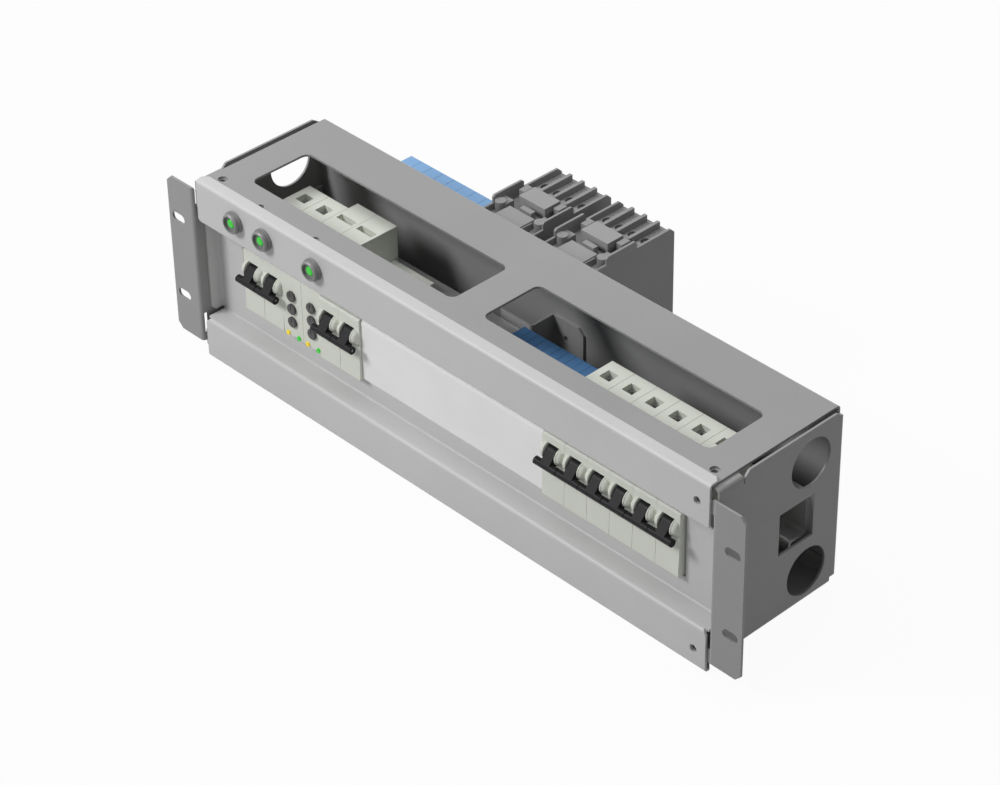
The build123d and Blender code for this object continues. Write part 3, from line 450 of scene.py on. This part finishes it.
cross_size = span.node("ShaderNodeCombineXYZ", {0: given["head_radius"] * SLOT_WIDTH,
                                                1: cross_reach, 2: given["head_height"]})
lift = span.node("ShaderNodeCombineXYZ", {2: given["head_height"] * CUT_LIFT})
cutters = []
for size in (slot_size, cross_size):
    cube = span.node("GeometryNodeMeshCube", {"Size": size})
    cutters.append(cube.node("GeometryNodeTransform", {"Geometry": cube, "Translation": lift}))
cut_head = head.node("GeometryNodeMeshBoolean", {"Mesh 1": head, "Mesh 2": cutters},
                     operation="DIFFERENCE")
shank = span.node("GeometryNodeMeshCylinder", {"Vertices": 12, "Depth": given["shank"],
                                               "Radius": given["head_radius"] * SHANK_SHARE})
shank_drop = span.node("ShaderNodeCombineXYZ", {2: given["shank"] * -0.5})
shank = shank.node("GeometryNodeTransform", {"Geometry": shank, "Translation": shank_drop})
screw = head.node("GeometryNodeJoinGeometry", {"Geometry": [cut_head, shank]})
turn_of_each = span.node("FunctionNodeRandomValue", {"Min": (0, 0, 0), "Max": (0, 0, math.pi),
                                                     "Seed": given["seed"]}, data_type="FLOAT_VECTOR")
close_tree(screw_tree, placed, screw, given, turn_of_each)
print("screw tree nodes:", len(screw_tree.nodes))

# %% Screws in the rear terminals
TERMINAL_PITCH = 10.2 * MM
SCREW_DROP = 4.5 * MM
low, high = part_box("outer_terminals")
terminal_middle = (low + high) / 2
grow("rear_terminal_screws", screw_tree, screw_steel, "terminal_light_blue", columns=10, rows=2,
     column_pitch=TERMINAL_PITCH, row_pitch=9.0 * MM,
     middle=(terminal_middle.x, terminal_middle.y, high.z - SCREW_DROP),
     head_radius=2.3 * MM, head_height=1.4 * MM, shank=5.5 * MM, cross=0.0, seed=3)

# %% Screws in the contactors
BAY = 10.85 * MM
SCREW_SINK = 2.6 * MM
NOSE_RISE = 10.0 * MM
GUARD_DROP = 5.0 * MM
contactors = {}
for number in (1, 2):
    low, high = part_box(f"contactor_{number}_top")
    middle = (low + high) / 2
    terminal_floor = high.z - NOSE_RISE
    contactors[number] = Vector((middle.x, middle.y, terminal_floor)), low.y, high.z - GUARD_DROP
    grow(f"contactor_{number}_screws", screw_tree, screw_steel, "contactor_top_plastic", columns=4,
         rows=2, column_pitch=BAY, row_pitch=55.0 * MM,
         middle=(middle.x, middle.y, terminal_floor - SCREW_SINK),
         head_radius=3.0 * MM, head_height=1.8 * MM, shank=7.4 * MM, cross=1.0, seed=number)

# %% [markdown]
# ## Ribs at the contactor terminals
#
# Between each terminal screw and the end of its bay the floor has fine cross ribs. They
# are half-round bars, so a round profile swept along a short line makes one, sunk to its
# middle in the floor, and a grid of points places them in every bay.

# %% Rib tree
rib_tree, given = new_tree("rib_rows", bays="Int", ribs="Int", bay_pitch="Float", rib_pitch="Float",
                           middle="Vector", rib_length="Float", rib_radius="Float")
span = (given["bays"] - 1) * given["bay_pitch"]
depth = (given["ribs"] - 1) * given["rib_pitch"]
grid = span.node("GeometryNodeMeshGrid", {"Size X": span, "Size Y": depth,
                                          "Vertices X": given["bays"], "Vertices Y": given["ribs"]})
placed = grid.node("GeometryNodeTransform", {"Geometry": grid, "Translation": given["middle"]})
ends = [span.node("ShaderNodeCombineXYZ", {0: given["rib_length"] * half}) for half in (-0.5, 0.5)]
line = span.node("GeometryNodeCurvePrimitiveLine", {"Start": ends[0], "End": ends[1]})
profile = span.node("GeometryNodeCurvePrimitiveCircle", {"Resolution": 8, "Radius": given["rib_radius"]})
rib = line.node("GeometryNodeCurveToMesh", {"Curve": line, "Profile Curve": profile, "Fill Caps": True})
close_tree(rib_tree, placed, rib, given)
print("rib tree nodes:", len(rib_tree.nodes))

# %% Ribs in both contactors
RIB_REACH = 38.0 * MM
for number, (middle, front_y, guard_z) in contactors.items():
    for side, word in ((-1, "front"), (1, "rear")):
        grow(f"contactor_{number}_{word}_ribs", rib_tree, contactor_plastic, "contactor_top_plastic",
             bays=4, ribs=8, bay_pitch=BAY, rib_pitch=1.5 * MM,
             middle=(middle.x, middle.y + side * RIB_REACH, middle.z),
             rib_length=8.4 * MM, rib_radius=0.4 * MM)

# %% [markdown]
# ## Touch guards of the contactors
#
# A flat guard lies on the barriers in front of each label holder and covers the middle
# terminals. Its long edges are rounded, so it is a filleted section swept along Y.

# %% Guard tree
guard_tree, given = new_tree("touch_guard", start="Vector", length="Float", width="Float",
                             thickness="Float", corner="Float")
end = given["length"].node("ShaderNodeCombineXYZ", {1: given["length"]})
line = end.node("GeometryNodeCurvePrimitiveLine", {"End": end})
section = end.node("GeometryNodeCurvePrimitiveQuadrilateral", {"Width": given["width"],
                                                               "Height": given["thickness"]})
section = section.node("GeometryNodeFilletCurve", {"Curve": section, "Count": 4,
                                                   "Radius": given["corner"]}, mode="POLY")
guard = line.node("GeometryNodeCurveToMesh", {"Curve": line, "Profile Curve": section,
                                              "Fill Caps": True})
point = end.node("GeometryNodePoints", {"Count": 1, "Position": given["start"]})
close_tree(guard_tree, point, guard, given)
print("guard tree nodes:", len(guard_tree.nodes))

# %% Guards on both contactors
GUARD_SET_BACK = 6.0 * MM
for number, (middle, front_y, guard_z) in contactors.items():
    guard_piece = grow(f"contactor_{number}_guard", guard_tree, carrier_plastic, "contactor_top_plastic",
                       start=(middle.x, front_y + GUARD_SET_BACK, guard_z),
                       length=31.0 * MM, width=22.0 * MM, thickness=1.0 * MM, corner=0.4 * MM)
    print("guard size in mm:", [round(size / MM, 1) for size in guard_piece.dimensions])

# %% [markdown]
# ## Clamps in the breakers
#
# A look into a wire port shows the steel cage that the screw pulls up. It is a square
# tube with rounded corners: a flat profile swept round a filleted square. breaker_3 is
# the first of six single breakers in a row, so its clamps and fronts are made for six.

# %% Clamp tree
clamp_tree, given = new_tree("clamp_row", poles="Int", pole_pitch="Float", first="Vector",
                             width="Float", wall="Float", height="Float")
step = given["pole_pitch"].node("ShaderNodeCombineXYZ", {0: given["pole_pitch"]})
row = step.node("GeometryNodeMeshLine", {"Count": given["poles"], "Start Location": given["first"],
                                         "Offset": step}, mode="OFFSET")
path_width = given["width"] - given["wall"]
square = row.node("GeometryNodeCurvePrimitiveQuadrilateral", {"Width": path_width, "Height": path_width})
rounded = square.node("GeometryNodeFilletCurve", {"Curve": square, "Count": 4,
                                                  "Radius": given["wall"]}, mode="POLY")
band = row.node("GeometryNodeCurvePrimitiveQuadrilateral", {"Width": given["wall"],
                                                            "Height": given["height"]})
cage = row.node("GeometryNodeCurveToMesh", {"Curve": rounded, "Profile Curve": band, "Fill Caps": True})
close_tree(clamp_tree, row, cage, given)
print("clamp tree nodes:", len(clamp_tree.nodes))

# %% Clamps in the left double breaker and in the six single ones
HALF_POLE = 8.9 * MM
CLAMP_SINK = 6.5 * MM
PORT_BEFORE_BACK = 16.0 * MM
for breaker, poles in (("breaker_1", 2), ("breaker_3", 6)):
    low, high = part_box(f"{breaker}_housing")
    for end_z, word in ((high.z - CLAMP_SINK, "upper"), (low.z + CLAMP_SINK, "lower")):
        cages = grow(f"{breaker}_{word}_clamps", clamp_tree, clamp_steel, "breaker_plastic",
                     poles=poles, pole_pitch=POLE,
                     first=(low.x + HALF_POLE, high.y - PORT_BEFORE_BACK, end_z),
                     width=7.7 * MM, wall=0.9 * MM, height=5.0 * MM)
        print("cage height in mm:", round(cages.dimensions.z / MM, 2))

# %% [markdown]
# ## Breaker fronts
#
# Round the lever of every pole stand two round crowns, each with a raised rim towards the
# lever and a domed outer end. A crown is a turned shape, so its outline is spun about the
# lever's axis. The flat front round the crowns is a plate with a gap for the lever. One
# such front is modelled in mesh code and a geometry tree sets it on each pole. It stands
# a few hundredths of a millimetre proud of the housing, so that the two never coincide.

# %% Outline of a crown
BORE_R = 1.58
BORE_END = 7.1
INNER_X = 4.62
OUTER_X = 8.72
CROWN_R = 5.64
RIM_R = 6.0
RIM_WIDTH = 1.0
RIM_EDGE = 0.12
RIM_DROP = 0.14
DOME_R = 3.0
DOME_STEPS = 8


def crown_outline():
    """Distances along the lever's axis and away from it, in mm, from the bore to the outer end."""
    rim_low = RIM_R - RIM_DROP
    outline = [(BORE_END, 0.0), (BORE_END, BORE_R), (INNER_X, BORE_R), (INNER_X, rim_low),
               (INNER_X + RIM_EDGE, RIM_R), (INNER_X + RIM_WIDTH - RIM_EDGE, RIM_R),
               (INNER_X + RIM_WIDTH, rim_low), (INNER_X + RIM_WIDTH, CROWN_R)]
    for step in range(DOME_STEPS + 1):
        angle = math.radians(90 * step / DOME_STEPS)
        outline.append((OUTER_X - DOME_R + DOME_R * math.sin(angle),
                        CROWN_R - DOME_R + DOME_R * math.cos(angle)))
    return outline + [(OUTER_X, 0.0)]


print("points in the outline:", len(crown_outline()))

# %% Two crowns
def add_crowns(shape):
    """Spin the outline to the left and to the right of the lever."""
    for side in (-1, 1):
        ring = [shape.verts.new((side * x * MM, -radius * MM, 0)) for x, radius in crown_outline()]
        edges = [shape.edges.new(pair) for pair in zip(ring, ring[1:])]
        bmesh.ops.spin(shape, geom=ring + edges, cent=(0, 0, 0), axis=(1, 0, 0), dvec=(0, 0, 0),
                       angle=math.tau, steps=36, use_merge=True, use_duplicate=False)
    bmesh.ops.remove_doubles(shape, verts=shape.verts[:], dist=0.001 * MM)
    for face in shape.faces:
        face.smooth = True


print("crown width in mm:", round(OUTER_X - INNER_X, 2))

# %% The front plate
PLATE_HALF = 8.93
GAP_HALF_X = 4.6
GAP_HALF_Z = 6.0


def add_plate(shape, front_y, below, above):
    """A flat ring from the depth of the lever's axis to front_y, open where the lever stands."""
    loops = {"outer": [(-PLATE_HALF, -below), (PLATE_HALF, -below),
                       (PLATE_HALF, above), (-PLATE_HALF, above)],
             "inner": [(-GAP_HALF_X, -GAP_HALF_Z), (GAP_HALF_X, -GAP_HALF_Z),
                       (GAP_HALF_X, GAP_HALF_Z), (-GAP_HALF_X, GAP_HALF_Z)]}
    corners = {(loop, y): [shape.verts.new((x * MM, y * MM, z * MM)) for x, z in places]
               for y in (front_y, 0.0) for loop, places in loops.items()}
    flat_pairs = [(corners["outer", y], corners["inner", y]) for y in (front_y, 0.0)]
    wall_pairs = [(corners[loop, front_y], corners[loop, 0.0]) for loop in loops]
    for now in range(4):
        after = (now + 1) % 4
        for first, second in flat_pairs + wall_pairs:
            shape.faces.new((first[now], first[after], second[after], second[now]))


print("front plate width in mm:", 2 * PLATE_HALF)

# %% One breaker front
PIVOT_DEPTH = 1.7
PROUD = 0.02


def breaker_front(name, below, above):
    """Crowns and front plate of one pole, with the lever's axis at the origin, in metres."""
    shape = bmesh.new()
    add_crowns(shape)
    add_plate(shape, -PIVOT_DEPTH - PROUD, below, above)
    bmesh.ops.recalc_face_normals(shape, faces=shape.faces[:])
    mesh = bpy.data.meshes.new(name)
    shape.to_mesh(mesh)
    shape.free()
    return bpy.data.objects.new(name, mesh)


print("gap for the lever in mm:", 2 * GAP_HALF_X, "x", 2 * GAP_HALF_Z)

# %% A tree that sets a part along a row of poles
row_tree, given = new_tree("pole_row", poles="Int", pole_pitch="Float", first="Vector", part="Object")
step = given["pole_pitch"].node("ShaderNodeCombineXYZ", {0: given["pole_pitch"]})
row = step.node("GeometryNodeMeshLine", {"Count": given["poles"], "Start Location": given["first"],
                                         "Offset": step}, mode="OFFSET")
pattern = row.node("GeometryNodeObjectInfo", {"Object": given["part"]}, "Geometry",
                   transform_space="ORIGINAL")
close_tree(row_tree, row, pattern, given)
print("row tree nodes:", len(row_tree.nodes))

# %% Fronts on all ten poles
MODULE_Z = -1.5
PLATE_TOP = MODULE_Z + 21.5
# each breaker with its poles, the depth of its face and the height of its lever's axis in mm
BREAKER_ROWS = [("breaker_1", 2, 13.5, 7.4), ("breaker_2", 2, 11.5, 7.4), ("breaker_3", 6, 12.3, 9.5)]
for breaker, poles, face_y, pivot_z in BREAKER_ROWS:
    low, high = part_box(f"{breaker}_housing")
    pattern_object = breaker_front(breaker + "_pattern", pivot_z - MODULE_Z, PLATE_TOP - pivot_z)
    bpy.context.scene.collection.objects.link(pattern_object)
    grow(f"{breaker}_fronts", row_tree, front_plastic, "breaker_plastic",
         poles=poles, pole_pitch=POLE, part=pattern_object,
         first=(low.x + HALF_POLE, (face_y + PIVOT_DEPTH) * MM, pivot_z * MM))
    bpy.data.objects.remove(pattern_object)

# %% [markdown]
# ## Floor, background and light
#
# The picture has a white background with no floor line. The floor keeps the object's
# shadow, but a ray that comes straight from the camera, or is reflected into it, sees it
# nearly white. The lamps stay at a plain level, at which a colour renders about as it is
# written, so the white comes from the floor and the world and not from the lamps.

# %% What counts as being looked at
def looked_at(tree):
    """1 for a ray from the camera, also by way of a shiny or clear surface, else 0."""
    path = tree.nodes.new("ShaderNodeLightPath")
    seen = Field(tree, path.outputs["Is Camera Ray"])
    for name in ("Is Glossy Ray", "Is Transmission Ray"):
        seen = seen.math("MAXIMUM", Field(tree, path.outputs[name]))
    return seen


floor_z = cad_box[0].z
print("height of the floor in mm:", round(floor_z / MM, 1))

# %% Floor
floor_reach = 6.0
floor_mesh = bpy.data.meshes.new("floor")
floor_mesh.from_pydata([(-floor_reach, -floor_reach, floor_z), (floor_reach, -floor_reach, floor_z),
                        (floor_reach, floor_reach, floor_z), (-floor_reach, floor_reach, floor_z)],
                       [], [(0, 1, 2, 3)])
floor = bpy.data.objects.new("floor", floor_mesh)
bpy.context.scene.collection.objects.link(floor)
floor_finish, floor_shader, floor_place = new_finish("floor_pale")
wire(floor_shader, "Base Color", tint(182))
wire(floor_shader, "Roughness", 0.9)
floor_tree = floor_finish.node_tree
floor_tree.nodes.remove(floor_place.socket.node)
print("floor width in m:", 2 * floor_reach)

# %% White where the camera sees the floor
floor_share = 0.93
white = floor_tree.nodes.new("ShaderNodeEmission")
white.inputs["Color"].default_value = (1, 1, 1, 1)
white.inputs["Strength"].default_value = 1.02
share = floor_tree.nodes.new("ShaderNodeMixShader")
floor_tree.links.new((looked_at(floor_tree) * floor_share).socket, share.inputs[0])
floor_tree.links.new(floor_shader.outputs[0], share.inputs[1])
floor_tree.links.new(white.outputs[0], share.inputs[2])
output = next(n for n in floor_tree.nodes if n.type == "OUTPUT_MATERIAL")
floor_tree.links.new(share.outputs[0], output.inputs[0])
floor_mesh.materials.append(floor_finish)
print("floor shader nodes:", len(floor_tree.nodes))

# %% World
world = bpy.data.worlds.new("studio")
bpy.context.scene.world = world
world.use_nodes = True
sky = world.node_tree
sky.nodes.clear()
sky_out = sky.nodes.new("ShaderNodeOutputWorld")
skies = []
SKY_LIGHT = 0.19
SKY_SEEN = 1.0
for strength in (SKY_LIGHT, SKY_SEEN):
    background = sky.nodes.new("ShaderNodeBackground")
    background.inputs["Color"].default_value = (1, 1, 1, 1)
    background.inputs["Strength"].default_value = strength
    skies.append(background)
sky_mix = sky.nodes.new("ShaderNodeMixShader")
sky.links.new(looked_at(sky).socket, sky_mix.inputs[0])
sky.links.new(skies[0].outputs[0], sky_mix.inputs[1])
sky.links.new(skies[1].outputs[0], sky_mix.inputs[2])
sky.links.new(sky_mix.outputs[0], sky_out.inputs[0])
print("sky strength as light and as seen:", SKY_LIGHT, SKY_SEEN)

# %% [markdown]
# ## The lamps
#
# In the picture the faces that look up are brightest, those that look forward get two
# thirds of that light, and those that look right about a quarter. A broad lamp overhead
# and a smaller one to the left in front, halfway up, give that. The front one also shines
# through the windows of the cover onto the rear wall. A weak lamp behind keeps the back
# readable.

# %% Lamps
def soft_lamp(name, where, size, level, aim=(0, 0.05, 0)):
    """A round lamp that gives a white face turned to it the brightness in level."""
    distance = (Vector(where) - Vector(aim)).length
    data = bpy.data.lights.new(name, "AREA")
    data.shape = "DISK"
    data.size = size
    data.energy = level * (math.pi * distance) ** 2
    lamp = bpy.data.objects.new(name, data)
    lamp.location = where
    lamp.rotation_euler = (Vector(aim) - Vector(where)).to_track_quat("-Z", "Y").to_euler()
    bpy.context.scene.collection.objects.link(lamp)


soft_lamp("top_lamp", (-0.2, 0.05, 2.0), 1.2, 0.385)
soft_lamp("front_lamp", (-1.05, -1.4, 1.4), 0.7, 0.54)
soft_lamp("back_lamp", (-0.3, 2.0, 0.5), 0.8, 0.25)
bpy.context.scene.view_settings.view_transform = "Standard"
